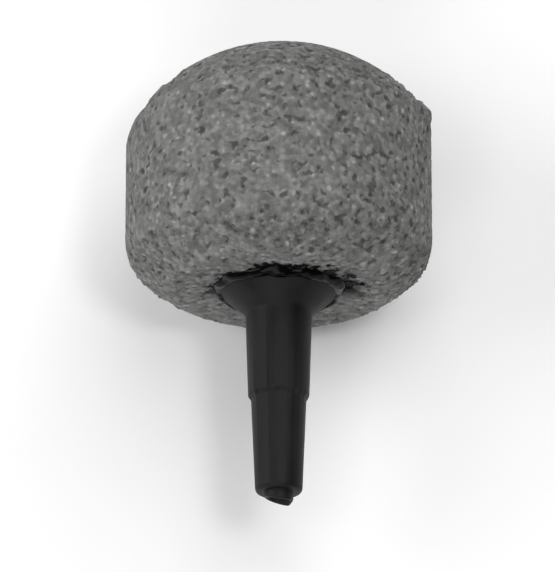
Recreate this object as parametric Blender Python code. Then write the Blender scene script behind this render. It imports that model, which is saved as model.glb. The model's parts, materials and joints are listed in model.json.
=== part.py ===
"""Round aquarium air stone: a bonded-grit body, a moulded hose connector and the glue that joins them.

Every piece is turned about one level axis. The stone lies on its belt, as it does on a tank's floor,
and the connector points along -Y. The origin is on the ground, under the middle of the whole length.
Profiles are (radius, height) points in millimetres. Height is measured along the axis from the middle
of the belt: negative to the domed end, positive past the base face and on to the hose end.
"""

import math

import bmesh
import bpy
from mathutils import Matrix

MM = 0.001
SEGMENTS = 48  # facets round every turned piece
FIT_GAP = 0.3  # between the glue and each face that it holds

# Stone
STONE_DIAMETER = 30.0
BELT_LENGTH = 11.4
DOME_SPHERE_RADIUS = 17.7  # rounder than the belt, so that the dome meets it at an edge
SHOULDER_RADIUS = 4.0  # from the belt into the base cone
BASE_CONE_ANGLE = 37.5  # degrees, against the base face
BASE_DEPTH = 5.2  # from the belt's end to the base face
BASE_EDGE_RADIUS = 1.5  # from the base cone into the base face
SEAT_RADIUS = 7.2  # shallow recess for the connector's flange
SEAT_DEPTH = 1.15
SOCKET_RADIUS = 4.0  # blind hole for the spigot, with the air chamber at its end
SOCKET_DEPTH = 13.0
SOCKET_POINT_DEPTH = 1.2  # cone at the socket's blind end

# Connector
GLUE_BED = 0.3  # glue layer under the flange
FLANGE_RADIUS = 5.7
FLANGE_EDGE = 0.46  # height of the flange's straight edge
FLANGE_CONE_HEIGHT = 2.2
WIDE_STEP_RADII = (3.2, 2.93)  # at the flange and at the small step, for 6 mm hose
WIDE_STEP_LENGTH = 8.6
SLIM_STEP_RADII = (2.64, 2.27)  # at the small step and at the hose end, for 4 mm hose
SMALL_STEP_SLOPE = 0.45  # length of the short slope between the two steps
SLIM_STEP_LENGTH = 9.7
LEAD_IN = 0.45  # chamfer that starts the hose
GATE_RADIUS = 1.1  # stub of the moulding gate at the hose end
GATE_LENGTH = 1.0
SPIGOT_RADIUS = 2.6
SPIGOT_LENGTH = 9.0
KEY_RADIUS = 3.0  # rings round the spigot that key it into the glue
KEY_WIDTH = 1.2
KEY_COUNT = 3
BORE_RADII = (1.3, 0.65)  # at the air chamber and at the hose end: the core pin's taper

# Glue
GLUE_LENGTH = 8.2  # how far the glue reaches down the socket
BEAD_CROWN = 0.5  # height of the squeezed-out bead above the stone's base face
BEAD_ROUNDING = 0.25

STONE_RADIUS = STONE_DIAMETER / 2
BELT_END = BELT_LENGTH / 2
BASE_FACE = BELT_END + BASE_DEPTH
SEAT_FLOOR = BASE_FACE - SEAT_DEPTH
FLANGE_UNDERSIDE = SEAT_FLOOR + 2 * FIT_GAP + GLUE_BED
FLANGE_RIM = FLANGE_UNDERSIDE + FLANGE_EDGE
STEM_FOOT = FLANGE_RIM + FLANGE_CONE_HEIGHT
SMALL_STEP = STEM_FOOT + WIDE_STEP_LENGTH
HOSE_END = SMALL_STEP + SLIM_STEP_LENGTH
SPIGOT_END = FLANGE_UNDERSIDE - SPIGOT_LENGTH
DOME_ANGLE = math.degrees(math.asin(STONE_RADIUS / DOME_SPHERE_RADIUS))  # from the pole to the belt
DOME_CENTRE = -BELT_END + DOME_SPHERE_RADIUS * math.cos(math.radians(DOME_ANGLE))
MIDDLE = (HOSE_END + GATE_LENGTH + DOME_CENTRE - DOME_SPHERE_RADIUS) / 2  # of the whole length
AXIS_LEVEL = STONE_RADIUS * math.cos(math.pi / SEGMENTS)  # of the axis above a facet on the ground


def clear_scene():
    for item in list(bpy.data.objects):
        bpy.data.objects.remove(item)


def make_material(name, colour, roughness):
    material = bpy.data.materials.new(name)
    material.use_nodes = True
    shader = material.node_tree.nodes["Principled BSDF"]
    shader.inputs["Base Color"].default_value = (*colour, 1.0)
    shader.inputs["Roughness"].default_value = roughness
    shader.inputs["Metallic"].default_value = 0.0
    material.diffuse_color = (*colour, 1.0)
    return material


def arc(centre, radius, start, end, steps):
    """Points of a circular arc. Angles are in degrees, from the +radius direction towards +height."""
    points = []
    for step in range(steps + 1):
        angle = math.radians(start + (end - start) * step / steps)
        points.append((centre[0] + radius * math.cos(angle), centre[1] + radius * math.sin(angle)))
    return points


def lay_down(build):
    """Turns millimetres about the vertical axis into metres about the level one, on the ground."""
    half_facet = Matrix.Rotation(math.pi / SEGMENTS, 4, "Z")  # a facet, and not an edge, goes underneath
    tip_over = Matrix.Rotation(math.radians(90), 4, "X")
    lift = Matrix.Translation((0.0, MIDDLE, AXIS_LEVEL))
    build.transform(Matrix.Scale(MM, 4) @ lift @ tip_over @ half_facet)


def turned(name, profile, material, closed):
    """A solid of revolution. A closed profile makes a ring; an open one starts and ends on the axis."""
    build = bmesh.new()
    corners = [build.verts.new((radius, 0.0, height)) for radius, height in profile]
    pairs = list(zip(corners[:-1], corners[1:]))
    if closed:
        pairs.append((corners[-1], corners[0]))
    edges = [build.edges.new(pair) for pair in pairs]
    bmesh.ops.spin(
        build,
        geom=corners + edges,
        axis=(0, 0, 1),
        cent=(0, 0, 0),
        steps=SEGMENTS,
        angle=math.tau,
        use_merge=True,
    )
    bmesh.ops.remove_doubles(build, verts=build.verts, dist=0.001)
    bmesh.ops.recalc_face_normals(build, faces=build.faces)
    if build.calc_volume(signed=True) < 0:
        bmesh.ops.reverse_faces(build, faces=build.faces)
    lay_down(build)
    mesh = bpy.data.meshes.new(name)
    build.to_mesh(mesh)
    build.free()
    mesh.materials.append(material)
    mesh.shade_smooth()
    mesh.set_sharp_from_angle(angle=math.radians(30))
    solid = bpy.data.objects.new(name, mesh)
    bpy.context.scene.collection.objects.link(solid)
    return solid


def dome_points():
    """The plain end: a sphere's cap from the pole to the belt."""
    points = arc((0.0, DOME_CENTRE), DOME_SPHERE_RADIUS, -90, DOME_ANGLE - 90, 14)
    points[0] = (0.0, points[0][1])
    return points


def base_points():
    """The connector's end: shoulder, cone and base edge, each arc tangent to its neighbours."""
    cone = math.radians(BASE_CONE_ANGLE)
    shoulder_centre = (STONE_RADIUS - SHOULDER_RADIUS, BELT_END)
    shoulder = arc(shoulder_centre, SHOULDER_RADIUS, 0, 90 - BASE_CONE_ANGLE, 7)
    edge_centre_height = BASE_FACE - BASE_EDGE_RADIUS
    # The cone runs at one distance from both arc centres' offset lines, which fixes the second centre.
    level = shoulder_centre[0] * math.sin(cone) + shoulder_centre[1] * math.cos(cone) + SHOULDER_RADIUS
    edge_centre_radius = (level - BASE_EDGE_RADIUS - edge_centre_height * math.cos(cone)) / math.sin(cone)
    edge = arc((edge_centre_radius, edge_centre_height), BASE_EDGE_RADIUS, 90 - BASE_CONE_ANGLE, 90, 5)
    return shoulder + edge


def make_stone(material):
    """Pressed and fired grit, with a seat for the flange and a blind socket for the spigot."""
    seat_and_socket = [
        (SEAT_RADIUS, BASE_FACE),
        (SEAT_RADIUS, SEAT_FLOOR),
        (SOCKET_RADIUS, SEAT_FLOOR),
        (SOCKET_RADIUS, BASE_FACE - SOCKET_DEPTH),
        (0.0, BASE_FACE - SOCKET_DEPTH - SOCKET_POINT_DEPTH),
    ]
    profile = dome_points() + base_points() + seat_and_socket
    return turned("stone_body", profile, material, closed=False)


def spigot_points(clearance):
    """The spigot's keyed outer line from its inner end to the flange, moved outwards by a clearance."""
    flank = KEY_RADIUS - SPIGOT_RADIUS
    pitch = SPIGOT_LENGTH / (KEY_COUNT + 1)
    points = []
    for key in range(1, KEY_COUNT + 1):
        middle = SPIGOT_END + key * pitch
        points += [
            (SPIGOT_RADIUS + clearance, middle - KEY_WIDTH / 2),
            (KEY_RADIUS + clearance, middle - KEY_WIDTH / 2 + flank),
            (KEY_RADIUS + clearance, middle + KEY_WIDTH / 2 - flank),
            (SPIGOT_RADIUS + clearance, middle + KEY_WIDTH / 2),
        ]
    return points


def make_connector(material):
    """One moulding: keyed spigot, flange with a conical face, two tapered hose steps and a bore."""
    bore_inner, bore_outer = BORE_RADII
    profile = [
        (bore_inner, SPIGOT_END),
        (SPIGOT_RADIUS - LEAD_IN, SPIGOT_END),
        (SPIGOT_RADIUS, SPIGOT_END + LEAD_IN),
        *spigot_points(0.0),
        (SPIGOT_RADIUS, FLANGE_UNDERSIDE),
        (FLANGE_RADIUS, FLANGE_UNDERSIDE),
        (FLANGE_RADIUS, FLANGE_RIM),
        (WIDE_STEP_RADII[0], STEM_FOOT),
        (WIDE_STEP_RADII[1], SMALL_STEP - SMALL_STEP_SLOPE / 2),
        (SLIM_STEP_RADII[0], SMALL_STEP + SMALL_STEP_SLOPE / 2),
        (SLIM_STEP_RADII[1], HOSE_END - LEAD_IN),
        (SLIM_STEP_RADII[1] - LEAD_IN, HOSE_END),
        (GATE_RADIUS, HOSE_END),
        (GATE_RADIUS, HOSE_END + GATE_LENGTH),
        (bore_outer, HOSE_END + GATE_LENGTH),
    ]
    return turned("hose_connector", profile, material, closed=True)


def make_glue(material):
    """The glue's whole body: sleeve round the spigot, bed under the flange and bead round its edge."""
    bed_bottom = SEAT_FLOOR + FIT_GAP
    bed_top = bed_bottom + GLUE_BED
    sleeve_inner = SPIGOT_RADIUS + FIT_GAP
    sleeve_outer = SOCKET_RADIUS - FIT_GAP
    sleeve_end = BASE_FACE - GLUE_LENGTH
    bead_inner = FLANGE_RADIUS + FIT_GAP
    bead_outer = SEAT_RADIUS - FIT_GAP
    bead_top = BASE_FACE + BEAD_CROWN
    profile = [
        (sleeve_inner, sleeve_end),
        *spigot_points(FIT_GAP),
        (sleeve_inner, bed_top),
        (bead_inner, bed_top),
        (bead_inner, FLANGE_RIM),
        (bead_inner + BEAD_ROUNDING, bead_top),
        (bead_outer - BEAD_ROUNDING, bead_top),
        (bead_outer, bead_top - BEAD_ROUNDING),
        (bead_outer, bed_bottom),
        (sleeve_outer, bed_bottom),
        (sleeve_outer, sleeve_end),
    ]
    return turned("glue_bond", profile, material, closed=True)


def main():
    clear_scene()
    make_stone(make_material("bonded_grit", (0.17, 0.17, 0.17), 0.95))
    make_connector(make_material("black_plastic", (0.02, 0.02, 0.02), 0.4))
    make_glue(make_material("black_glue", (0.008, 0.008, 0.008), 0.25))


main()
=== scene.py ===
# %% [markdown]
# # A round air stone with its hose connector
#
# An air stone turns the air from a pump into fine bubbles. It is a block of bonded grit with a plastic
# connector glued into it: air goes in at the tip, down the bore into the block, and out through the
# pores between the grains. The stone lies on its belt with the stem pointing at the viewer's feet.
#
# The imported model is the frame. It says where each piece is, and these cells only make the pieces
# look real: the pressed grit, the squeezed-out glue and the moulded plastic.

# %% Load the frame
import json
import math

import bmesh
import bpy
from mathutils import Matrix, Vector, noise


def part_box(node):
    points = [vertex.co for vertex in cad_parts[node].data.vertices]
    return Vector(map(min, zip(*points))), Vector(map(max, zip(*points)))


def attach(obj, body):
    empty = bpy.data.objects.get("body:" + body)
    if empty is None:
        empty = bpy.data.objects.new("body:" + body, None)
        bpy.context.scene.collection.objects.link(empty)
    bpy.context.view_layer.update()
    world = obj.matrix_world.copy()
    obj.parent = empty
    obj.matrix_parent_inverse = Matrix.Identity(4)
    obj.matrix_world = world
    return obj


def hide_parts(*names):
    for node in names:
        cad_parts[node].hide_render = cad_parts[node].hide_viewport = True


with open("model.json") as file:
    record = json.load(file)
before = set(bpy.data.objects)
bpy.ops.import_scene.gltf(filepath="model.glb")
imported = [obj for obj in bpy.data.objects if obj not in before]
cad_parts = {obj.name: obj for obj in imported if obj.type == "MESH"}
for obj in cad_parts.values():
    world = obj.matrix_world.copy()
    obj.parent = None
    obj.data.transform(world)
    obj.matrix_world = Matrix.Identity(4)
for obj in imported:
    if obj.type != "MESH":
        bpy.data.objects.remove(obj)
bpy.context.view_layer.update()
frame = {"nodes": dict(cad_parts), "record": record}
print("frame nodes:", sorted(frame["nodes"]))

# %% [markdown]
# Everything on this object is turned about one level axis, so a place on it needs two numbers: how far
# along the axis, and how far from it. The frame gives both. The stone's box has the dome's pole at one
# end and the base face, where the connector sits, at the other. The connector's box gives the flange's
# radius and the far end of the stem, and the mounts give the tip face and the middle of the belt.

# %% Places along the axis
MM = 0.001

stone_low, stone_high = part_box("stone_body")
connector_low, connector_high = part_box("hose_connector")
mounts = {mount["name"]: Vector(mount["pos_m"]) for mount in frame["record"]["mounts"]}

axis_level = (stone_low[2] + stone_high[2]) / 2 / MM
belt_radius = (stone_high[0] - stone_low[0]) / 2 / MM
belt_middle = mounts["resting_face"].y / MM
pole = stone_high[1] / MM - belt_middle
base_face = belt_middle - stone_low[1] / MM
flange_radius = (connector_high[0] - connector_low[0]) / 2 / MM
tip_height = belt_middle - mounts["tip_face"].y / MM
stub_height = belt_middle - connector_low[1] / MM
print(f"axis {axis_level:.2f} mm up, belt radius {belt_radius:.2f} mm, middle at y = {belt_middle:.2f} mm")
print(f"flange radius {flange_radius:.2f} mm, tip face {tip_height:.2f} mm from the belt's middle")

# %% [markdown]
# A turned piece starts as half of its outline, given as (radius, height) points in millimetres, with
# height counted along the axis from the belt's middle towards the hose. Most of an outline is straight
# lines and circular arcs. Moulded and set edges are never quite sharp, so a second function rounds the
# corners of a finished outline with short curves.

# %% Arcs and rounded corners
def arc(centre, radius, start, end, steps):
    """Points of a circular arc, with angles in degrees from the +radius direction towards +height."""
    points = []
    for step in range(steps + 1):
        angle = math.radians(start + (end - start) * step / steps)
        points.append((centre[0] + radius * math.cos(angle), centre[1] + radius * math.sin(angle)))
    return points


def rounded(outline, corners, steps=4):
    """The outline with some corners rounded: corners maps a point's index to the cut-back distance."""
    result = []
    for index, point in enumerate(outline):
        if index not in corners:
            result.append(point)
            continue
        here = Vector(point)
        before = Vector(outline[index - 1]) - here
        after = Vector(outline[(index + 1) % len(outline)]) - here
        start = here + before.normalized() * corners[index]
        end = here + after.normalized() * corners[index]
        for step in range(steps + 1):
            t = step / steps
            bend = start * (1 - t) ** 2 + here * 2 * t * (1 - t) + end * t**2
            result.append((bend.x, bend.y))
    return result


quarter = arc((0.0, 0.0), 1.0, 0, 90, 2)
print("a quarter circle in two steps:", [(round(radius, 2), round(height, 2)) for radius, height in quarter])

# %% [markdown]
# Spinning an outline gives the skin, as a lathe would. The stone, the glue and the connector all come
# from the same lathe. Each passes in a shape function that moves the points a little while the piece
# still stands upright, because a real piece is never perfectly round.

# %% Lathe
MERGE_DISTANCE = 0.001  # mm, for the doubled points on the axis


def lay_down(x, y, height):
    """A point of the upright lathe, in millimetres, as a place on the object in metres."""
    return Vector((x, belt_middle - height, axis_level + y)) * MM


def lathe(name, outline, segments, closed, shape):
    """Spins an outline; shape(x, y, height) moves each point before it is laid down."""
    build = bmesh.new()
    corners = [build.verts.new((radius, 0.0, height)) for radius, height in outline]
    pairs = list(zip(corners[:-1], corners[1:]))
    if closed:
        pairs.append((corners[-1], corners[0]))
    edges = [build.edges.new(pair) for pair in pairs]
    bmesh.ops.spin(
        build,
        geom=corners + edges,
        axis=(0, 0, 1),
        cent=(0, 0, 0),
        steps=segments,
        angle=math.tau,
        use_merge=True,
    )
    bmesh.ops.remove_doubles(build, verts=build.verts, dist=MERGE_DISTANCE)
    for vertex in build.verts:
        vertex.co = lay_down(*shape(*vertex.co))
    bmesh.ops.recalc_face_normals(build, faces=build.faces)
    if build.calc_volume(signed=True) < 0:
        bmesh.ops.reverse_faces(build, faces=build.faces)
    mesh = bpy.data.meshes.new(name)
    build.to_mesh(mesh)
    build.free()
    mesh.shade_smooth()
    piece = bpy.data.objects.new(name, mesh)
    bpy.context.scene.collection.objects.link(piece)
    return piece


print("the axis at the belt's middle, in metres:", [round(side, 4) for side in lay_down(0.0, 0.0, 0.0)])

# %% [markdown]
# Both Geometry Nodes and materials are trees of nodes. One helper adds a node to either kind. It sets
# the node's own settings and gives each input a value or a link; where an input is given another node,
# that node's first output is linked. Colours are written as sRGB codes and turned to linear light.

# %% One helper for every tree
def add(tree, kind, inputs=None, **settings):
    """Adds a node; inputs maps a socket's name or number to a value, a socket or another node."""
    node = tree.nodes.new(kind)
    for name, value in settings.items():
        setattr(node, name, value)
    for key, value in (inputs or {}).items():
        source = value.outputs[0] if isinstance(value, bpy.types.Node) else value
        if isinstance(source, bpy.types.NodeSocket):
            tree.links.new(source, node.inputs[key])
        else:
            node.inputs[key].default_value = source
    return node


def colour(code):
    """An sRGB hex colour, such as 8A8A88, as the linear colour that shaders work in."""
    channels = [int(code[place:place + 2], 16) / 255 for place in (0, 2, 4)]
    linear = [c / 12.92 if c <= 0.04045 else ((c + 0.055) / 1.055) ** 2.4 for c in channels]
    return (*linear, 1.0)


print("the mid grey 808080 in linear light:", round(colour("808080")[0], 3))

# %% [markdown]
# ## The grit
#
# The block is mineral grit of about half a millimetre, coated with binder, pressed into a mould and
# fired. To the eye it is dull grey and softly speckled: most grains are close in tone, a few are pale,
# and binder blurs where one ends and the next begins. The dark specks are pores, open holes between
# the grains, uneven in size and often longer than they are wide.
#
# Two patterns give this. A Voronoi texture packs cells like grains, and its smooth kind blends each
# cell's tone into the next as the binder does. A noise texture that is cut off near its peaks leaves
# scattered, uneven blots, which are the pores, and their dark tone is painted shade for the holes. On
# the +X side the noise is raised a little, so there are more of them there, in tone and in relief. Their
# extra dark tone is painted shade that stands in for the stronger relief shading that grazing light
# gives that side. A pattern's scale is one over its real size in metres. Both patterns are used twice,
# here for tone and below for relief, so that a dark speck is also a pit.

# %% Grains and pores
GRAIN = 0.48  # mm across
GRAIN_BLEND = 0.85  # how far the binder blurs one grain into the next, from 0 to 1
PORE = 0.78  # mm, the noise's own spacing: pores come out at about half of this across
PORE_START = 0.55  # noise level where a pore's rim begins
PORE_FULL = 0.68  # noise level where a pore is at its full depth
# More pores on +X also means more painted pore shade there, standing in for light that grazes that side.
PORE_LEAN = 0.025  # added to the level on the +X side and taken off on the other

grain_cells = {"Scale": 1 / (GRAIN * MM), "Smoothness": GRAIN_BLEND}


def pore_noise(tree, place):
    """The noise whose peaks are the pores; the same nodes serve the material and the relief."""
    settings = {"Vector": place, "Scale": 1 / (PORE * MM), "Detail": 1.0, "Distortion": 0.2}
    peaks = add(tree, "ShaderNodeTexNoise", settings)
    side = add(tree, "ShaderNodeSeparateXYZ", {"Vector": place})
    lean = {0: side, 1: PORE_LEAN / (belt_radius * MM), 2: peaks}
    level = add(tree, "ShaderNodeMath", lean, operation="MULTIPLY_ADD")
    limits = {"Value": level, "From Min": PORE_START, "From Max": PORE_FULL}
    return add(tree, "ShaderNodeMapRange", limits, interpolation_type="SMOOTHSTEP")


print("grit: grains", GRAIN, "mm, pores about", PORE / 2, "mm")

# %% [markdown]
# Tone comes in layers. The ramp spreads the grains' own tones, with most of them in the middle. Over it
# lie three layers: the pores' dark tone, which is painted shade for the holes; a fine pepper from the
# smallest grains; and wide soft clouds where the mould was filled more or less tightly.

# %% Grit tones
GRIT_TONES = (  # how the grains' tones are spread, from the darkest to the palest
    (0.0, "595958"),
    (0.35, "676766"),
    (0.7, "757573"),
    (0.9, "7F7F7D"),
    (1.0, "979793"),
)
# PORE_SHADE is painted shade: a pore's tone is darkened for the shade that falls inside the hole.
PORE_SHADE = 0.45  # a full pore's tone beside its grains'
PEPPER = 0.48  # mm, the spacing of a noise whose finer layers stand for the smallest grains
PEPPER_SWING = 0.14  # how much lighter or darker the pepper makes the grains
CLOUD = 4.0  # mm, patches that were pressed harder or softer
CLOUD_SWING = 0.1
NOISE_LOW = 0.3  # nearly all of a noise texture's values lie between these two
NOISE_HIGH = 0.7

noise_span = {"From Min": NOISE_LOW, "From Max": NOISE_HIGH}


def grain_tone(tree, pick):
    """The ramp from the darkest grain to the palest; pick is each grain's random number."""
    tones = add(tree, "ShaderNodeValToRGB", {"Fac": pick})
    ramp = tones.color_ramp
    ramp.elements[0].color = colour(GRIT_TONES[0][1])
    ramp.elements[1].color = colour(GRIT_TONES[-1][1])
    for position, code in GRIT_TONES[1:-1]:
        ramp.elements.new(position).color = colour(code)
    return tones


def grit_shade(tree, place, pepper):
    """How much darker or lighter the pores' painted shade, the pepper and the clouds make the grains, as one
    factor.
    """
    pores = {"Value": pore_noise(tree, place), "To Min": 1.0, "To Max": PORE_SHADE}
    shade = add(tree, "ShaderNodeMapRange", pores)
    cloud = add(tree, "ShaderNodeTexNoise", {"Vector": place, "Scale": 1 / (CLOUD * MM), "Detail": 3.0})
    for pattern, swing in ((pepper, PEPPER_SWING), (cloud, CLOUD_SWING)):
        limits = {"Value": pattern, **noise_span, "To Min": 1 - swing, "To Max": 1 + swing}
        layer = add(tree, "ShaderNodeMapRange", limits)
        shade = add(tree, "ShaderNodeMath", {0: shade, 1: layer}, operation="MULTIPLY")
    return shade


print("grit tones:", ", ".join(code for _, code in GRIT_TONES))

# %% [markdown]
# Glue has soaked into the grains round the upper half of the flange and turned them black. The stain is
# everything nearer to the flange than a set radius, but a noise pushes that limit outwards here and
# there, which makes tongues of uneven length. It is kept to the base end and to the upper half.

# %% Glue stain
STAIN_CENTRE = (0.7, -0.8)  # mm right of and above the axis
STAIN_RADIUS = 7.1
STAIN_SOFTNESS = 0.5  # mm, for every limit of the stain
STAIN_LEVELS = (-2.5, 0.0)  # mm above the axis: none of it sank in below, all of it above
STAIN_DEPTH = 6.5  # mm past the belt's middle, where the base end begins
TONGUE_REACH = 2.4  # mm, how far past the radius the longest tongues go
TONGUE_WIDTH = 1.0  # mm
TONGUE_LEVELS = (0.38, 0.7)  # noise levels of no tongue and of the longest


def glue_stain(tree, place):
    """One where the glue has soaked in, fading to nothing round that."""
    split = add(tree, "ShaderNodeSeparateXYZ", {"Vector": place})
    centre = (STAIN_CENTRE[0] * MM, 0.0, (axis_level + STAIN_CENTRE[1]) * MM)
    across = add(tree, "ShaderNodeVectorMath", {0: place, 1: (1.0, 0.0, 1.0)}, operation="MULTIPLY")
    away = add(tree, "ShaderNodeVectorMath", {0: across, 1: centre}, operation="DISTANCE")
    settings = {"Vector": place, "Scale": 1 / (TONGUE_WIDTH * MM), "Detail": 3.0}
    patchy = add(tree, "ShaderNodeTexNoise", settings)
    limits = {
        "Value": patchy,
        "From Min": TONGUE_LEVELS[0],
        "From Max": TONGUE_LEVELS[1],
        "To Max": TONGUE_REACH * MM,
    }
    tongue = add(tree, "ShaderNodeMapRange", limits)
    past = add(tree, "ShaderNodeMath", {0: away.outputs["Value"], 1: tongue}, operation="SUBTRACT")
    base_end = belt_middle - STAIN_DEPTH
    stain = 1.0
    for value, none, full in (
        (past, STAIN_RADIUS + STAIN_SOFTNESS, STAIN_RADIUS - STAIN_SOFTNESS),
        (split.outputs["Y"], base_end + STAIN_SOFTNESS, base_end - STAIN_SOFTNESS),
        (split.outputs["Z"], axis_level + STAIN_LEVELS[0], axis_level + STAIN_LEVELS[1]),
    ):
        limits = {"Value": value, "From Min": none * MM, "From Max": full * MM}
        part = add(tree, "ShaderNodeMapRange", limits)
        stain = add(tree, "ShaderNodeMath", {0: stain, 1: part}, operation="MULTIPLY")
    return stain


print(f"stain: {STAIN_RADIUS} mm round the flange, tongues up to {TONGUE_REACH} mm longer")

# %% [markdown]
# Fired grit is dead matt, with the odd flat crystal face that shines. Where glue has soaked in, the
# grains are smoother, but the glue drowns their own glitter, so their specular level goes down. Under
# the mesh's own relief each grain is a low crown with a fine tooth on it, and bump is enough for that.

# %% Fired grit
STAIN_COLOUR = "0B0B0B"
GLINT_PICKS = (0.8, 0.9)  # a grain whose random number is over these starts to shine, then shines
GRIT_ROUGHNESS = (0.92, 0.65)  # of a matt grain and of a crystal face
STAINED_ROUGHNESS = 0.55  # share of the roughness that is left under glue
GRIT_SPECULAR = (0.35, 0.04)  # of a clean grain and of a stained one
GRIT_IOR = 1.52
GRAIN_RELIEF = 0.12  # mm
GRAIN_TOOTH = 0.8  # height of the tooth beside the crown's
GRIT_BUMP = 0.7


def make_grit():
    """Fired mineral grit: dead matt, speckled, with painted shade in its pores, black where glue has soaked
    in.
    """
    material = bpy.data.materials.new("fired_mineral_grit")
    material.use_nodes = True
    tree = material.node_tree
    shader = tree.nodes["Principled BSDF"]
    place = add(tree, "ShaderNodeTexCoord").outputs["Object"]

    grains = add(tree, "ShaderNodeTexVoronoi", {"Vector": place, **grain_cells}, feature="SMOOTH_F1")
    pick = add(tree, "ShaderNodeSeparateColor", {"Color": grains.outputs["Color"]})
    pepper = add(tree, "ShaderNodeTexNoise", {"Vector": place, "Scale": 1 / (PEPPER * MM), "Detail": 2.0})
    shade = grit_shade(tree, place, pepper)
    grey = add(tree, "ShaderNodeVectorMath", {0: grain_tone(tree, pick), "Scale": shade}, operation="SCALE")
    stain = glue_stain(tree, place)
    mixed = add(tree, "ShaderNodeMix", {0: stain, 6: grey, 7: colour(STAIN_COLOUR)}, data_type="RGBA")
    tree.links.new(mixed.outputs[2], shader.inputs["Base Color"])

    limits = {
        "Value": pick.outputs[1],
        "From Min": GLINT_PICKS[0],
        "From Max": GLINT_PICKS[1],
        "To Min": GRIT_ROUGHNESS[0],
        "To Max": GRIT_ROUGHNESS[1],
    }
    glint = add(tree, "ShaderNodeMapRange", limits)
    wet = add(tree, "ShaderNodeMapRange", {"Value": stain, "To Min": 1.0, "To Max": STAINED_ROUGHNESS})
    rough = add(tree, "ShaderNodeMath", {0: glint, 1: wet}, operation="MULTIPLY")
    tree.links.new(rough.outputs[0], shader.inputs["Roughness"])
    limits = {"Value": stain, "To Min": GRIT_SPECULAR[0], "To Max": GRIT_SPECULAR[1]}
    shine = add(tree, "ShaderNodeMapRange", limits)
    tree.links.new(shine.outputs[0], shader.inputs["Specular IOR Level"])
    shader.inputs["IOR"].default_value = GRIT_IOR

    crown = add(tree, "ShaderNodeMath", {0: grains.outputs["Distance"], 1: -1.0}, operation="MULTIPLY")
    height = add(tree, "ShaderNodeMath", {0: pepper, 1: GRAIN_TOOTH, 2: crown}, operation="MULTIPLY_ADD")
    relief = {"Height": height, "Distance": GRAIN_RELIEF * MM, "Strength": GRIT_BUMP}
    bump = add(tree, "ShaderNodeBump", relief)
    tree.links.new(bump.outputs["Normal"], shader.inputs["Normal"])
    return material


grit = make_grit()
print("grit:", grit.name, "with", len(grit.node_tree.nodes), "nodes")

# %% [markdown]
# ## The stone
#
# The block's outline is a few arcs: a dome that is part of a larger sphere, so that it meets the
# straight belt at an edge, and on the other side a rounded shoulder, a cone and a flat base with the
# seat and socket for the connector.

# %% Stone outline
BELT_HALF = 5.7  # mm, from the middle of the belt to either edge
DOME_SPHERE_RADIUS = 17.7
SHOULDER_RADIUS = 4.0
BASE_CONE_ANGLE = 37.5  # degrees, against the base face
BASE_EDGE_RADIUS = 1.5
SEAT_RADIUS = 5.8  # where the grit ends, right beside the flange's rim
SEAT_DEPTH = 1.15
SOCKET_RADIUS = 4.0
SOCKET_DEPTH = 13.0
SOCKET_POINT = 1.2  # mm, the cone at the socket's blind end
DOME_STEPS = 60
BELT_STEPS = 20
SHOULDER_STEPS = 16
BASE_EDGE_STEPS = 8

dome_centre = DOME_SPHERE_RADIUS - pole


def stone_outline():
    """The stone's half outline, from the dome's pole round to the socket's blind end."""
    reach = math.degrees(math.asin(belt_radius / DOME_SPHERE_RADIUS))
    dome = arc((0.0, dome_centre), DOME_SPHERE_RADIUS, -90, reach - 90, DOME_STEPS)
    dome[0] = (0.0, -pole)
    inner_steps = range(1, BELT_STEPS)
    belt = [(belt_radius, -BELT_HALF + 2 * BELT_HALF * step / BELT_STEPS) for step in inner_steps]
    cone = math.radians(BASE_CONE_ANGLE)
    shoulder_centre = (belt_radius - SHOULDER_RADIUS, BELT_HALF)
    shoulder = arc(shoulder_centre, SHOULDER_RADIUS, 0, 90 - BASE_CONE_ANGLE, SHOULDER_STEPS)
    # The cone touches both arcs, which fixes how far out the base edge's arc has its centre.
    edge_height = base_face - BASE_EDGE_RADIUS
    level = shoulder_centre[0] * math.sin(cone) + shoulder_centre[1] * math.cos(cone) + SHOULDER_RADIUS
    edge_radius = (level - BASE_EDGE_RADIUS - edge_height * math.cos(cone)) / math.sin(cone)
    edge_centre = (edge_radius, edge_height)
    base_edge = arc(edge_centre, BASE_EDGE_RADIUS, 90 - BASE_CONE_ANGLE, 90, BASE_EDGE_STEPS)
    seat = [
        (SEAT_RADIUS, base_face),
        (SEAT_RADIUS, base_face - SEAT_DEPTH),
        (SOCKET_RADIUS, base_face - SEAT_DEPTH),
        (SOCKET_RADIUS, base_face - SOCKET_DEPTH),
        (0.0, base_face - SOCKET_DEPTH - SOCKET_POINT),
    ]
    return dome + belt + shoulder + base_edge + seat


print("stone outline:", len(stone_outline()), "points")

# %% [markdown]
# The mould's parts never line up exactly, so the dome sits a little to one side and the base a little
# less so, and part of the dome's edge is worn away.
#
# Spinning the outline leaves long thin faces. A voxel remesh then gives the skin a mesh of even
# fineness, a little under half a grain, so that grains and pores can be raised or sunk anywhere on it.

# %% Stone skin
DOME_SLIP = 0.35  # mm towards +X
BASE_SLIP = 0.05
DOME_SLIP_REACH = 0.8  # mm past the belt's edge, over which the dome's slip grows to its full size
BASE_SLIP_START = 1.5  # mm past the belt's other edge
BASE_SLIP_REACH = 3.0  # mm, over which the base's slip grows
WEAR_DEPTH = 0.5  # mm off the dome's edge, on its -X side
WEAR_REACH = (3.0, 1.4)  # mm that the wear reaches up the dome and along the belt
SEAT_MARGIN = 0.5  # mm of the base face, beside the seat, that stays where it is
STONE_SEGMENTS = 288
FINENESS = 0.215  # mm, the voxel size


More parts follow.
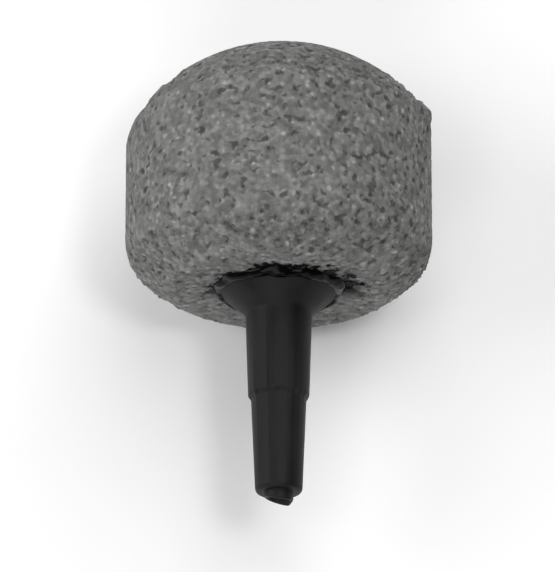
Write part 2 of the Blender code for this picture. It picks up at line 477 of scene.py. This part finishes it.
def press(x, y, height):
    """Slips the dome and the base sideways and wears the dome's edge back."""
    radius = math.hypot(x, y)
    if radius < SEAT_RADIUS + SEAT_MARGIN and height > 0:
        return x, y, height
    past_edge = height + BELT_HALF
    fade = max(0.0, 1 - abs(past_edge) / WEAR_REACH[0 if past_edge < 0 else 1])
    if radius > 0 and x < 0:
        keep = 1 - WEAR_DEPTH * fade * (-x / radius) / radius
        x, y = x * keep, y * keep
    to_dome = min(1.0, max(0.0, -past_edge / DOME_SLIP_REACH))
    to_base = min(1.0, max(0.0, (height - BELT_HALF - BASE_SLIP_START) / BASE_SLIP_REACH))
    return x + DOME_SLIP * to_dome + BASE_SLIP * to_base, y, height


def plain_mesh(piece):
    """Keeps what the object's modifiers make as its mesh, and takes them off."""
    piece.data = bpy.data.meshes.new_from_object(piece.evaluated_get(bpy.context.evaluated_depsgraph_get()))
    piece.modifiers.clear()


stone = lathe("stone_body_grit", stone_outline(), STONE_SEGMENTS, closed=False, shape=press)
remesh = stone.modifiers.new("even_mesh", "REMESH")
remesh.mode = "VOXEL"
remesh.voxel_size = FINENESS * MM
plain_mesh(stone)
print("even skin:", len(stone.data.polygons), "faces")

# %% [markdown]
# The mould presses the outermost grains flush, so the belt and dome are smooth envelopes with pits in
# them, and their outline stays clean. Where the mould's halves meet, grains spill past the envelope and
# leave a rough band at the dome's edge, and another round the shoulder of the base. A chip, a shallow
# dent and a lump stand out on the dome.
#
# A Geometry Nodes tree does all this to the even skin: it moves each point inwards by the depth of the
# pores and gaps, and inside the rough bands also outwards. Its sizes are named inputs.

# %% Rough bands
DOME_BAND = (-BELT_HALF - 2.3, 2.2)  # middle and half width, mm along the axis
BASE_BAND = (BELT_HALF + 3.2, 2.2)
BAND_CORE = 0.4  # share of the half width that is fully rough


def rough_bands(tree, place):
    """One in the two rough bands, fading to nothing outside them."""
    along = add(tree, "ShaderNodeSeparateXYZ", {"Vector": place}).outputs["Y"]
    bands = 0.0
    for middle, half_width in (DOME_BAND, BASE_BAND):
        past = add(tree, "ShaderNodeMath", {0: along, 1: (belt_middle - middle) * MM}, operation="SUBTRACT")
        off = add(tree, "ShaderNodeMath", {0: past}, operation="ABSOLUTE")
        limits = {"Value": off, "From Min": half_width * MM, "From Max": BAND_CORE * half_width * MM}
        band = add(tree, "ShaderNodeMapRange", limits)
        bands = add(tree, "ShaderNodeMath", {0: bands, 1: band}, operation="MAXIMUM")
    return bands


print("rough bands:", 2 * DOME_BAND[1], "mm wide at the dome,", 2 * BASE_BAND[1], "mm at the base")

# %% [markdown]
# A tree's sockets belong to its interface. An input of the modifier is set by its identifier, which
# the interface gives for each name.

# %% Trees with named inputs
def new_tree(name, result, inputs):
    """A Geometry Nodes tree; inputs maps a kind of socket to the names of the inputs of that kind."""
    tree = bpy.data.node_groups.new(name, "GeometryNodeTree")
    for kind, sockets in inputs.items():
        for socket in sockets:
            tree.interface.new_socket(name=socket, in_out="INPUT", socket_type="NodeSocket" + kind)
    tree.interface.new_socket(name=result, in_out="OUTPUT", socket_type="NodeSocketGeometry")
    return tree, add(tree, "NodeGroupInput").outputs


def run_tree(piece, tree, values):
    """Gives the object the tree with these values, by input name, and keeps the result as its mesh."""
    modifier = piece.modifiers.new(tree.name, "NODES")
    modifier.node_group = tree
    for item in tree.interface.items_tree:
        if item.in_out == "INPUT" and item.name in values:
            modifier[item.identifier] = values[item.name]
    plain_mesh(piece)


print("helpers for trees:", new_tree.__name__, "and", run_tree.__name__)

# %% Stone relief tree
GAP_SHAPE = 1.5  # over one, the grains' tops stay broad and the gaps between them narrow
SPILL_SIZE = 1.1  # mm
SPILL_LEVELS = (0.42, 0.7)  # noise levels of the deepest hollow and of the highest lump
SPILL_HOLLOW = -0.35  # depth of the hollows beside the lumps' height
SPOTS = (  # the inputs that place and size each spot, and whether it goes in or out
    ("Chip place", "Chip reach", "Chip depth", -1.0),
    ("Dent place", "Dent reach", "Dent depth", -1.0),
    ("Lump place", "Lump reach", "Lump height", 1.0),
)


def make_relief():
    """The tree that sinks gaps and pores into the skin and raises the rough bands."""
    sizes = ["Gap depth", "Pore depth", "Spill"] + [name for spot in SPOTS for name in spot[1:3]]
    places = [spot[0] for spot in SPOTS]
    inputs = {"Geometry": ["Skin"], "Float": sizes, "Vector": places, "Material": ["Coating"]}
    tree, given = new_tree("grit_relief", "Stone", inputs)
    place = add(tree, "GeometryNodeInputPosition").outputs[0]
    normal = add(tree, "GeometryNodeInputNormal")

    # Inwards: the gaps between grains, and the pores.
    grains = add(tree, "ShaderNodeTexVoronoi", {"Vector": place, **grain_cells}, feature="SMOOTH_F1")
    away = grains.outputs["Distance"]
    hollow = add(tree, "ShaderNodeMath", {0: away, 1: GAP_SHAPE}, operation="POWER")
    gaps = add(tree, "ShaderNodeMath", {0: hollow, 1: given["Gap depth"]}, operation="MULTIPLY")
    sink = {0: pore_noise(tree, place), 1: given["Pore depth"], 2: gaps}
    inwards = add(tree, "ShaderNodeMath", sink, operation="MULTIPLY_ADD")

    # Outwards: lumpy spill in the rough bands.
    settings = {"Vector": place, "Scale": 1 / (SPILL_SIZE * MM), "Detail": 3.0, "Roughness": 0.7}
    lumps = add(tree, "ShaderNodeTexNoise", settings)
    limits = {
        "Value": lumps,
        "From Min": SPILL_LEVELS[0],
        "From Max": SPILL_LEVELS[1],
        "To Min": SPILL_HOLLOW,
    }
    lumpy = add(tree, "ShaderNodeMapRange", limits, clamp=True)
    in_band = add(tree, "ShaderNodeMath", {0: lumpy, 1: rough_bands(tree, place)}, operation="MULTIPLY")
    outwards = add(tree, "ShaderNodeMath", {0: in_band, 1: given["Spill"]}, operation="MULTIPLY")

    # A chip, a shallow dent and a lump, each a smooth spot round a place on the dome.
    for spot, reach, amount, sign in SPOTS:
        gap = add(tree, "ShaderNodeVectorMath", {0: place, 1: given[spot]}, operation="DISTANCE")
        limits = {"Value": gap.outputs["Value"], "From Max": given[reach], "To Min": sign, "To Max": 0.0}
        inside = add(tree, "ShaderNodeMapRange", limits, interpolation_type="SMOOTHSTEP")
        summed = {0: inside, 1: given[amount], 2: outwards}
        outwards = add(tree, "ShaderNodeMath", summed, operation="MULTIPLY_ADD")

    shift = add(tree, "ShaderNodeMath", {0: outwards, 1: inwards}, operation="SUBTRACT")
    move = add(tree, "ShaderNodeVectorMath", {0: normal, "Scale": shift}, operation="SCALE")
    moved = add(tree, "GeometryNodeSetPosition", {"Geometry": given["Skin"], "Offset": move})
    whole = add(tree, "GeometryNodeRealizeInstances", {"Geometry": moved})
    smooth = add(tree, "GeometryNodeSetShadeSmooth", {"Geometry": whole, "Shade Smooth": True})
    coated = add(tree, "GeometryNodeSetMaterial", {"Geometry": smooth, "Material": given["Coating"]})
    add(tree, "NodeGroupOutput", {0: coated})
    return tree


relief = make_relief()
print("relief tree:", len(relief.nodes), "nodes")

# %% Stone
def on_dome(from_pole, round_axis):
    """A place on the dome, by degrees from its pole and degrees round the axis from +X towards +Z."""
    tilt = math.radians(from_pole)
    turn = math.radians(round_axis)
    radius = DOME_SPHERE_RADIUS * math.sin(tilt)
    height = dome_centre - DOME_SPHERE_RADIUS * math.cos(tilt)
    return lay_down(radius * math.cos(turn) + DOME_SLIP, radius * math.sin(turn), height)


run_tree(stone, relief, {
    "Gap depth": 0.08 * MM,
    "Pore depth": 0.16 * MM,
    "Spill": 0.26 * MM,
    "Chip depth": 0.7 * MM,
    "Chip reach": 1.1 * MM,
    "Chip place": on_dome(48.0, 19.0),
    "Dent depth": 0.5 * MM,
    "Dent reach": 2.2 * MM,
    "Dent place": on_dome(42.0, 155.0),
    "Lump height": 0.5 * MM,
    "Lump reach": 1.9 * MM,
    "Lump place": on_dome(55.0, 14.0),
    "Coating": grit,
})
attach(stone, "root")
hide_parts("stone_body")
print("stone:", len(stone.data.polygons), "faces, size", [round(side / MM, 2) for side in stone.dimensions])

# %% [markdown]
# Some grains in the rough bands stand clear of the skin. They are the same small thing well over a
# thousand times, so a second tree scatters them: it distributes points on the finished stone, only in
# the bands, puts a twenty-sided crystal on each, sinks it until little more than its top shows, and
# turns and sizes it at random from a fixed seed. Once they are real faces, a noise pushes their corners
# about, so no two are alike.

# %% Proud grains tree
CRUSH_SIZE = 0.25  # mm, smaller than a crystal, so that its corners move separately


def make_scatter():
    """The tree that scatters crystals over the rough bands of the geometry it is given."""
    sizes = ["Per square metre", "Smallest", "Largest", "Sink", "Crush"]
    inputs = {"Geometry": ["Stone"], "Float": sizes, "Int": ["Seed"], "Material": ["Coating"]}
    tree, given = new_tree("proud_grains", "Grains", inputs)
    seed = given["Seed"]
    place = add(tree, "GeometryNodeInputPosition").outputs[0]

    share = {0: rough_bands(tree, place), 1: given["Per square metre"]}
    density = add(tree, "ShaderNodeMath", share, operation="MULTIPLY")
    cover = {"Mesh": given["Stone"], "Density": density, "Seed": seed}
    points = add(tree, "GeometryNodeDistributePointsOnFaces", cover)
    limits = {2: given["Smallest"], 3: given["Largest"], "Seed": seed}
    size = add(tree, "FunctionNodeRandomValue", limits, data_type="FLOAT").outputs[1]
    turns = {0: (0.0, 0.0, 0.0), 1: (math.tau, math.tau, math.tau), "Seed": seed}
    turn = add(tree, "FunctionNodeRandomValue", turns, data_type="FLOAT_VECTOR")
    depth = add(tree, "ShaderNodeMath", {0: size, 1: given["Sink"]}, operation="MULTIPLY")
    down = add(tree, "ShaderNodeVectorMath", {0: points.outputs["Normal"], "Scale": depth}, operation="SCALE")
    sunk = add(tree, "GeometryNodeSetPosition", {"Geometry": points, "Offset": down})
    crystal = add(tree, "GeometryNodeMeshIcoSphere", {"Radius": 1.0, "Subdivisions": 1})
    copies = {"Points": sunk, "Instance": crystal, "Rotation": turn, "Scale": size}
    grains = add(tree, "GeometryNodeInstanceOnPoints", copies)
    real = add(tree, "GeometryNodeRealizeInstances", {"Geometry": grains})
    settings = {"Vector": place, "Scale": 1 / (CRUSH_SIZE * MM), "Detail": 1.0}
    shape = add(tree, "ShaderNodeTexNoise", settings)
    push = {0: shape.outputs["Color"], 1: (0.5, 0.5, 0.5)}
    push = add(tree, "ShaderNodeVectorMath", push, operation="SUBTRACT")
    push = add(tree, "ShaderNodeVectorMath", {0: push, "Scale": given["Crush"]}, operation="SCALE")
    crushed = add(tree, "GeometryNodeSetPosition", {"Geometry": real, "Offset": push})
    coated = add(tree, "GeometryNodeSetMaterial", {"Geometry": crushed, "Material": given["Coating"]})
    add(tree, "NodeGroupOutput", {0: coated})
    return tree


scatter = make_scatter()
print("scatter tree:", len(scatter.nodes), "nodes")

# %% Proud grains
proud_grains = bpy.data.objects.new("proud_grains", stone.data.copy())
bpy.context.scene.collection.objects.link(proud_grains)
run_tree(proud_grains, scatter, {
    "Per square metre": 1.8 / MM**2,
    "Smallest": 0.12 * MM,
    "Largest": 0.24 * MM,
    "Sink": -0.55,
    "Crush": 0.2 * MM,
    "Seed": 11,
    "Coating": grit,
})
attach(proud_grains, "root")
print("proud grains:", len(proud_grains.data.polygons) // 20, "crystals of 20 faces")

# %% [markdown]
# ## The connector
#
# It is one moulding in black plastic: a flange with a conical face, then a stem in two tapered steps for
# two sizes of hose. Moulded polypropylene is an even black with a soft sheen. Faint flow marks run along
# the stem, so their noise is stretched that way, and it changes both the tone and the roughness.

# %% Moulded black plastic
PLASTIC_TONES = ("101011", "1A1A1B")
PLASTIC_ROUGHNESS = (0.46, 0.58)
PLASTIC_IOR = 1.49
PLASTIC_SPECULAR = 0.16
FLOW_WIDTH = 1.2  # mm across a flow mark
FLOW_STRETCH = 0.25  # a mark is one over this times as long as it is wide
SKIN_GRAIN = 0.35  # mm
SKIN_RELIEF = 0.02  # mm
SKIN_BUMP = 0.6


def make_plastic():
    """Moulded polypropylene: even black with a soft sheen and faint flow marks along the stem."""
    material = bpy.data.materials.new("moulded_black_polypropylene")
    material.use_nodes = True
    tree = material.node_tree
    shader = tree.nodes["Principled BSDF"]
    place = add(tree, "ShaderNodeTexCoord").outputs["Object"]
    along_flow = add(tree, "ShaderNodeMapping", {"Vector": place, "Scale": (1.0, FLOW_STRETCH, 1.0)})
    settings = {"Vector": along_flow, "Scale": 1 / (FLOW_WIDTH * MM), "Detail": 3.0}
    flow = add(tree, "ShaderNodeTexNoise", settings)
    shades = add(tree, "ShaderNodeValToRGB", {"Fac": flow})
    for element, position, code in zip(shades.color_ramp.elements, (NOISE_LOW, NOISE_HIGH), PLASTIC_TONES):
        element.position = position
        element.color = colour(code)
    tree.links.new(shades.outputs["Color"], shader.inputs["Base Color"])
    limits = {"Value": flow, **noise_span, "To Min": PLASTIC_ROUGHNESS[0], "To Max": PLASTIC_ROUGHNESS[1]}
    rough = add(tree, "ShaderNodeMapRange", limits)
    tree.links.new(rough.outputs[0], shader.inputs["Roughness"])
    shader.inputs["IOR"].default_value = PLASTIC_IOR
    shader.inputs["Specular IOR Level"].default_value = PLASTIC_SPECULAR
    skin = add(tree, "ShaderNodeTexNoise", {"Vector": place, "Scale": 1 / (SKIN_GRAIN * MM), "Detail": 2.0})
    bump = add(tree, "ShaderNodeBump", {"Height": skin, "Distance": SKIN_RELIEF * MM, "Strength": SKIN_BUMP})
    tree.links.new(bump.outputs["Normal"], shader.inputs["Normal"])
    return material


plastic = make_plastic()
print("plastic:", plastic.name)

# %% [markdown]
# The outline goes once round the moulding's wall: up the outside from the spigot that is hidden in the
# stone to the tip, and back down the bore. The lengths count back from the tip face, which the frame
# gives. The stub at the tip is drawn a little wider than the frame has it, because the real one was
# squashed as it was snipped.

# %% Connector outline
WIDE_STEP_RADII = (3.2, 2.93)
SLIM_STEP_RADII = (2.64, 2.27)
FLANGE_EDGE = 0.46
FLANGE_CONE_HEIGHT = 2.2
WIDE_STEP_LENGTH = 8.6
SLIM_STEP_LENGTH = 9.7
STEP_SLOPE = 0.45
SPIGOT_RADIUS = 2.6
SPIGOT_LENGTH = 9.0
BORE_RADII = (1.3, 0.65)
STUB_RADIUS = 1.4
STUB_BORE = 1.15  # the snipped stub has opened out to a thin wall

small_step = tip_height - SLIM_STEP_LENGTH
stem_foot = small_step - WIDE_STEP_LENGTH
rim_height = stem_foot - FLANGE_CONE_HEIGHT
flange_under = rim_height - FLANGE_EDGE
spigot_end = flange_under - SPIGOT_LENGTH

connector_outline = [
    (BORE_RADII[0], spigot_end),
    (SPIGOT_RADIUS, spigot_end),
    (SPIGOT_RADIUS, flange_under),
    (flange_radius, flange_under),
    (flange_radius, rim_height),
    (WIDE_STEP_RADII[0], stem_foot),
    (WIDE_STEP_RADII[1], small_step - STEP_SLOPE / 2),
    (SLIM_STEP_RADII[0], small_step + STEP_SLOPE / 2),
    (SLIM_STEP_RADII[1], tip_height),
    (STUB_RADIUS, tip_height),
    (STUB_RADIUS, stub_height),
    (STUB_BORE, stub_height),
    (BORE_RADII[1], tip_height),
]
corner_cuts = {1: 0.4, 3: 0.1, 4: 0.22, 5: 0.4, 6: 0.1, 7: 0.12, 8: 0.5, 9: 0.1, 10: 0.12, 11: 0.08}  # mm
print(f"flange's rim at {rim_height:.2f} mm, small step at {small_step:.2f} mm")

# %% [markdown]
# The lathe's shape function adds what the mould leaves behind: a fine parting line along each side, a
# ragged lip of flash at the small step, and at the tip the stub of the gate, snipped off at a slant in
# two bites.

# %% Connector
PARTING_RIDGE = 0.03  # mm, how far the parting line stands out
PARTING_WIDTH = 0.03  # mm to each side of it, for each mm of radius
PARTING_END = 0.5  # mm before the tip face
FLASH = 0.17  # mm, how far the lip at the small step wanders
FLASH_WAVES = 3  # how quickly the lip wanders round the stem
FLASH_PATTERN = 7.0  # which slice through the noise the lip follows
FLASH_FINER = 2.7  # the second, finer wander beside the first
FLASH_SIDE = 140  # degrees round the axis from +X, where the lip is at its most ragged
FLASH_LEAST = 0.4  # share of the raggedness that is there all round
SNIP = (0.85, 0.3, 0.13)  # the stub's length as cut on the axis, and what each mm across adds
SECOND_SNIP = (1.75, -0.75)  # a shorter bite from the +X side, in the same terms
LONGEST = 0.97  # share of the full stub that is left
SHORTEST = 0.1
STUB_START = 0.01  # mm past the tip face
CONNECTOR_SEGMENTS = 160
SHARP_ANGLE = 50  # degrees


def mould_marks(x, y, height):
    """Adds the parting lines, the ragged lip of the small step and the slanted snip of the stub."""
    radius = math.hypot(x, y)
    turn = math.atan2(y, x)
    if stem_foot < height < tip_height - PARTING_END and abs(y) < PARTING_WIDTH * radius:
        x *= 1 + PARTING_RIDGE / radius
    if abs(height - small_step) < STEP_SLOPE:
        lip = Vector((math.cos(turn) * FLASH_WAVES, math.sin(turn) * FLASH_WAVES, FLASH_PATTERN))
        raggedness = noise.noise(lip) + 0.5 * noise.noise(lip * FLASH_FINER)
        facing = max(0.0, math.cos(turn - math.radians(FLASH_SIDE)))
        amount = FLASH * (FLASH_LEAST + (1 - FLASH_LEAST) * facing)
        height += 2 * amount * raggedness
        swell = 1 + amount * max(0.0, raggedness) / radius
        x, y = x * swell, y * swell
    if height > tip_height + STUB_START:
        bite = SNIP[0] + SNIP[1] * x + SNIP[2] * y
        second_bite = SECOND_SNIP[0] + SECOND_SNIP[1] * x
        height = tip_height + (height - tip_height) * max(SHORTEST, min(LONGEST, bite, second_bite))
    return x, y, height


connector = lathe(
    "hose_connector_moulding",
    rounded(connector_outline, corner_cuts),
    CONNECTOR_SEGMENTS,
    closed=True,
    shape=mould_marks,
)
connector.data.set_sharp_from_angle(angle=math.radians(SHARP_ANGLE))
connector.data.materials.append(plastic)
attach(connector, "root")
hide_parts("hose_connector")
print("connector:", len(connector.data.polygons), "faces")

# %% [markdown]
# ## The glue
#
# Black epoxy holds the connector. Some of it was squeezed out from under the flange and set as a smooth,
# lumpy bead. Set epoxy has a fluid skin: deep black, with soft highlights that slow ripples break up.

# %% Black epoxy
EPOXY_TONES = ("030303", "090909")
EPOXY_ROUGHNESS = (0.1, 0.18)
EPOXY_IOR = 1.55
EPOXY_SPECULAR = 0.07  # low, so that the lumps stay black under the soft lights
RIPPLE = 1.2  # mm


def make_epoxy():
    """Set epoxy with a fluid skin: deep black, smooth, with slow ripples."""
    material = bpy.data.materials.new("set_black_epoxy")
    material.use_nodes = True
    tree = material.node_tree
    shader = tree.nodes["Principled BSDF"]
    place = add(tree, "ShaderNodeTexCoord").outputs["Object"]
    ripple = add(tree, "ShaderNodeTexNoise", {"Vector": place, "Scale": 1 / (RIPPLE * MM), "Detail": 1.0})
    shades = add(tree, "ShaderNodeValToRGB", {"Fac": ripple})
    for element, code in zip(shades.color_ramp.elements, EPOXY_TONES):
        element.color = colour(code)
    tree.links.new(shades.outputs["Color"], shader.inputs["Base Color"])
    limits = {"Value": ripple, **noise_span, "To Min": EPOXY_ROUGHNESS[0], "To Max": EPOXY_ROUGHNESS[1]}
    rough = add(tree, "ShaderNodeMapRange", limits)
    tree.links.new(rough.outputs[0], shader.inputs["Roughness"])
    shader.inputs["IOR"].default_value = EPOXY_IOR
    shader.inputs["Specular IOR Level"].default_value = EPOXY_SPECULAR
    return material


epoxy = make_epoxy()
print("glue:", epoxy.name)

# %% [markdown]
# The glue is a ring. Its outline goes up the sleeve inside the stone, out under the flange and round its
# rim, over the bead's crown and down to the toe, and back down the socket's wall. Inside the stone it
# keeps just clear of what it holds. At the flange's edge it reaches a little way in, so no gap shows.

# %% Glue outline
GLUE_SLEEVE_END = 8.2  # mm below the base face
CROWN = 0.6  # mm, the bead's height above the base face
LAP = 0.15  # mm, how far the bead laps over the flange's rim
TOE = 1.0  # mm past the seat, before the reach at each angle scales it
CLEARANCE = 0.05  # mm, inside the stone
RIM_BITE = 0.04  # mm that the glue reaches into the flange's edge
BEAD_LINE = ((0.2, 0.94), (0.4, 0.78), (0.6, 0.56), (0.8, 0.3), (0.93, 0.08))  # shares of toe and crown

lap_height = rim_height + LAP * FLANGE_CONE_HEIGHT / (flange_radius - WIDE_STEP_RADII[0])
seat_floor = base_face - SEAT_DEPTH
sleeve_end = base_face - GLUE_SLEEVE_END
glue_outline = [
    (SPIGOT_RADIUS + CLEARANCE, sleeve_end),
    (SPIGOT_RADIUS + CLEARANCE, flange_under - CLEARANCE),
    (flange_radius - RIM_BITE, flange_under - CLEARANCE),
    (flange_radius - RIM_BITE, rim_height - CLEARANCE),
    (flange_radius - LAP, lap_height - 0.06),
    (flange_radius - LAP - 0.02, lap_height + 0.03),
    (flange_radius - 0.6 * LAP, base_face + 0.95 * CROWN),
    (flange_radius, base_face + CROWN),
    *((SEAT_RADIUS + out * TOE, base_face + up * CROWN) for out, up in BEAD_LINE),
    (SEAT_RADIUS + TOE, base_face - 0.08),
    (SEAT_RADIUS + 0.8 * TOE, base_face - 0.22),
    (SEAT_RADIUS - CLEARANCE, base_face - 0.3),
    (SEAT_RADIUS - CLEARANCE, seat_floor + CLEARANCE),
    (SOCKET_RADIUS - CLEARANCE, seat_floor + CLEARANCE),
    (SOCKET_RADIUS - CLEARANCE, sleeve_end),
]
print("glue outline:", len(glue_outline), "points")

# %% [markdown]
# The glue ran mostly upwards and to the right, where it reaches over the grains in tongues, and it
# hardly shows below the flange. So the bead's outer toe is pulled out by a different amount at each
# angle, and the bead is lower at its two sides than at the top.

# %% Squeezed-out bead
BEAD_REACH = (  # degrees round the axis from +X towards +Z, and how far the toe goes out
    (0, 0.4), (20, 0.9), (45, 0.8), (70, 0.7), (90, 0.75), (115, 0.8), (140, 0.9), (160, 0.8), (180, 0.3),
    (205, 0.1), (250, 0.05), (320, 0.05), (345, 0.15), (360, 0.4),
)
SIDE_DROP = 0.6  # share of the bead's height above the rim that is missing at its two sides
RAGGED = 0.5  # how much longer or shorter the tongues are than the reach
RAGGED_WAVES = 4.0  # how quickly that changes round the flange
RAGGED_PATTERN = 0.3  # which slice through the noise the tongues follow


def squeeze_out(x, y, height):
    """Lowers the bead at its sides and pulls its toe out by the reach at this angle, in tongues."""
    radius = math.hypot(x, y)
    if height > rim_height:
        height -= (height - rim_height) * SIDE_DROP * (x / radius) ** 2
    if radius <= SEAT_RADIUS:
        return x, y, height
    turn = math.degrees(math.atan2(y, x)) % 360
    for (before, low), (after, high) in zip(BEAD_REACH[:-1], BEAD_REACH[1:]):
        if before <= turn <= after:
            share = (turn - before) / (after - before)
            reach = low + (high - low) * (3 - 2 * share) * share**2
    around = Vector((x / radius, y / radius, RAGGED_PATTERN))
    ragged = 1 + RAGGED * noise.noise(around * RAGGED_WAVES)
    wider = (SEAT_RADIUS + (radius - SEAT_RADIUS) * reach * ragged) / radius
    return x * wider, y * wider, height


longest_reach = max(reach for _, reach in BEAD_REACH)
print("the toe's longest reach:", longest_reach * TOE, "mm")

# %% [markdown]
# A small tree then swells the bead into lumps. Only the part that stands out of the stone swells, and
# that part lies past the surface level, towards -Y.

# %% Bead lumps tree
LUMP_HOLLOW = -0.4  # depth of the hollows beside the lumps' height
SWELL_START = 0.3  # mm past the surface level where the lumps reach their full height


def make_lumps():
    """The tree that swells the part of the bead outside the stone into lumps."""
    sizes = ["Lump spacing", "Lump height", "Surface level"]
    inputs = {"Geometry": ["Bead"], "Float": sizes, "Material": ["Coating"]}
    tree, given = new_tree("bead_lumps", "Glue", inputs)
    place = add(tree, "GeometryNodeInputPosition").outputs[0]
    normal = add(tree, "GeometryNodeInputNormal")
    per_lump = add(tree, "ShaderNodeMath", {0: 1.0, 1: given["Lump spacing"]}, operation="DIVIDE")
    lumps = add(tree, "ShaderNodeTexNoise", {"Vector": place, "Scale": per_lump, "Detail": 1.0})
    swell = add(tree, "ShaderNodeMapRange", {"Value": lumps, **noise_span, "To Min": LUMP_HOLLOW})
    along = add(tree, "ShaderNodeSeparateXYZ", {"Vector": place}).outputs["Y"]
    out = add(tree, "ShaderNodeMath", {0: given["Surface level"], 1: along}, operation="SUBTRACT")
    outside = add(tree, "ShaderNodeMapRange", {"Value": out, "From Min": 0.0, "From Max": SWELL_START * MM})
    part = add(tree, "ShaderNodeMath", {0: swell, 1: outside}, operation="MULTIPLY")
    amount = add(tree, "ShaderNodeMath", {0: part, 1: given["Lump height"]}, operation="MULTIPLY")
    move = add(tree, "ShaderNodeVectorMath", {0: normal, "Scale": amount}, operation="SCALE")
    moved = add(tree, "GeometryNodeSetPosition", {"Geometry": given["Bead"], "Offset": move})
    whole = add(tree, "GeometryNodeRealizeInstances", {"Geometry": moved})
    coated = add(tree, "GeometryNodeSetMaterial", {"Geometry": whole, "Material": given["Coating"]})
    add(tree, "NodeGroupOutput", {0: coated})
    return tree


swelling = make_lumps()
print("lumps tree:", len(swelling.nodes), "nodes")

# %% Glue
GLUE_SEGMENTS = 240

glue = lathe("glue_bond_bead", glue_outline, GLUE_SEGMENTS, closed=True, shape=squeeze_out)
run_tree(glue, swelling, {
    "Lump spacing": 1.6 * MM,
    "Lump height": 0.16 * MM,
    "Surface level": (belt_middle - base_face) * MM,
    "Coating": epoxy,
})
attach(glue, "root")
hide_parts("glue_bond")
print("glue:", len(glue.data.polygons), "faces")

# %% [markdown]
# ## Floor, light and camera
#
# A white sweep under soft lights is how small goods are shot. Two small ones, high up on the right and
# the left, cast a soft shadow each, and wide panels around the object fill in the rest.

# %% Floor
FLOOR_SIZE = 3.0  # m

bpy.ops.mesh.primitive_plane_add(size=FLOOR_SIZE, location=(0, 0, 0))
floor = bpy.context.object
floor.name = "floor"
paper = bpy.data.materials.new("white_paper")
paper.use_nodes = True
paper.node_tree.nodes["Principled BSDF"].inputs["Base Color"].default_value = colour("F0F0F0")
paper.node_tree.nodes["Principled BSDF"].inputs["Roughness"].default_value = 0.9
floor.data.materials.append(paper)
print("floor:", FLOOR_SIZE, "m of", paper.name)

# %% Lights
LIGHT_DISTANCE = 0.6  # m
SPOT = 0.13  # m, across the two small lights
PANEL = 0.45  # m
ROOM_LIGHT = 0.1
LIGHTS = (  # name, direction from the object, size, power in watts
    ("right_key", (43, -28, 152), SPOT, 0.7),
    ("left_key", (-46, -41, 152), SPOT, 0.17),
    ("left_panel", (-100, 0, 60), PANEL, 2.0),
    ("back_panel", (0, 100, 70), PANEL, 0.53),
    ("back_right_panel", (70, 80, 70), PANEL, 0.8),
    ("front_panel", (-15, -98, 60), PANEL, 1.5),
    ("top_panel", (18, 35, 100), PANEL, 1.15),
)

for name, direction, size, power in LIGHTS:
    lamp = bpy.data.lights.new(name, "AREA")
    lamp.shape = "DISK"
    lamp.size = size
    lamp.energy = power
    light = bpy.data.objects.new(name, lamp)
    away = Vector(direction).normalized()
    light.location = Vector((0.0, 0.0, axis_level * MM)) + away * LIGHT_DISTANCE
    light.rotation_euler = away.to_track_quat("Z", "Y").to_euler()
    bpy.context.scene.collection.objects.link(light)

world = bpy.data.worlds.new("room")
world.use_nodes = True
world.node_tree.nodes["Background"].inputs["Color"].default_value = (1.0, 1.0, 1.0, 1.0)
world.node_tree.nodes["Background"].inputs["Strength"].default_value = ROOM_LIGHT
bpy.context.scene.world = world
bpy.context.scene.view_settings.view_transform = "Standard"
print("lights:", ", ".join(name for name, *_ in LIGHTS))

# %% Camera
CAMERA_ELEVATION = 69.0  # degrees
CAMERA_DISTANCE = 0.6  # m
CAMERA_AIM = (-0.12, -1.05)  # mm, where on the axis's level it looks
FIELD_HEIGHT = 55.55 * MM  # what the frame's height covers at the aim point
SENSOR = 36.0  # mm
NEAREST = 0.01  # m

camera_data = bpy.data.cameras.new("camera")
camera = bpy.data.objects.new("camera", camera_data)
camera_data.sensor_width = SENSOR
camera_data.lens = SENSOR * CAMERA_DISTANCE / FIELD_HEIGHT
camera_data.clip_start = NEAREST
elevation = math.radians(CAMERA_ELEVATION)
aim = Vector((*CAMERA_AIM, axis_level)) * MM
camera.location = aim + Vector((0.0, -math.cos(elevation), math.sin(elevation))) * CAMERA_DISTANCE
camera.rotation_euler = (math.radians(90) - elevation, 0.0, 0.0)
bpy.context.scene.collection.objects.link(camera)
bpy.context.scene.camera = camera
print(f"camera: {camera_data.lens:.0f} mm lens, looking down at {CAMERA_ELEVATION:.0f} degrees")
